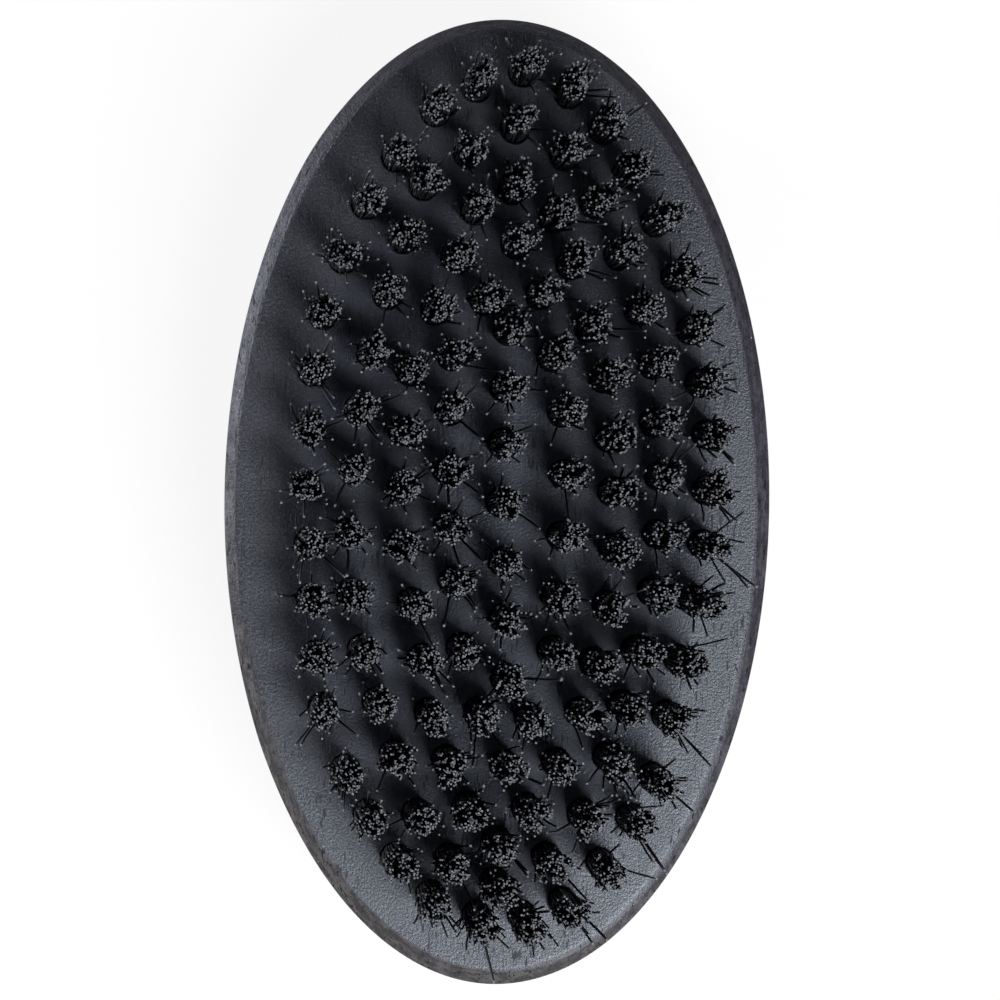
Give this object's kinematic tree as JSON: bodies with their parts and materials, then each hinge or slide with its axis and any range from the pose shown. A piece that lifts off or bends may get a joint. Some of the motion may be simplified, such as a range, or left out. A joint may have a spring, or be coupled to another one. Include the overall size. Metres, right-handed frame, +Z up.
{
  "type": "palm brush",
  "caption": "Oval palm brush: a black-stained wooden block with a rounded back, its flat face filled with rows of short stiff bristle tufts in concentric ovals.",
  "frame": {"origin": "middle of the flat back that the brush lies on, at its lowest level", "axes": "+Z up out of the bristles, +Y along the block's length, +X across its width"},
  "size_m": [0.057, 0.101, 0.034],
  "materials": {
    "stained_wood": "satin black stain that lets a fine grain show",
    "bristle": "stiff black bristle with paler cut ends"
  },
  "bodies": {
    "root": {"inner_row_tufts_01": "bristle", "inner_row_tufts_02": "bristle", "inner_row_tufts_03": "bristle", "inner_row_tufts_04": "bristle", "inner_row_tufts_05": "bristle", "inner_row_tufts_06": "bristle", "middle_row_tufts_01": "bristle", "middle_row_tufts_02": "bristle", "outer_row_tufts_01": "bristle", "outer_row_tufts_02": "bristle", "outer_row_tufts_03": "bristle", "outer_row_tufts_04": "bristle", "outer_row_tufts_05": "bristle", "outer_row_tufts_06": "bristle", "outer_row_tufts_07": "bristle", "outer_row_tufts_08": "bristle", "outer_row_tufts_09": "bristle", "outer_row_tufts_10": "bristle", "outer_row_tufts_11": "bristle", "outer_row_tufts_12": "bristle", "second_row_tufts_01": "bristle", "second_row_tufts_02": "bristle", "second_row_tufts_03": "bristle", "second_row_tufts_04": "bristle", "second_row_tufts_05": "bristle", "second_row_tufts_06": "bristle", "second_row_tufts_07": "bristle", "second_row_tufts_08": "bristle", "second_row_tufts_09": "bristle", "second_row_tufts_10": "bristle", "third_row_tufts_01": "bristle", "third_row_tufts_02": "bristle", "third_row_tufts_03": "bristle", "third_row_tufts_04": "bristle", "third_row_tufts_05": "bristle", "third_row_tufts_06": "bristle", "third_row_tufts_07": "bristle", "third_row_tufts_08": "bristle", "wood_block": "stained_wood"}
  },
  "joints": []
}
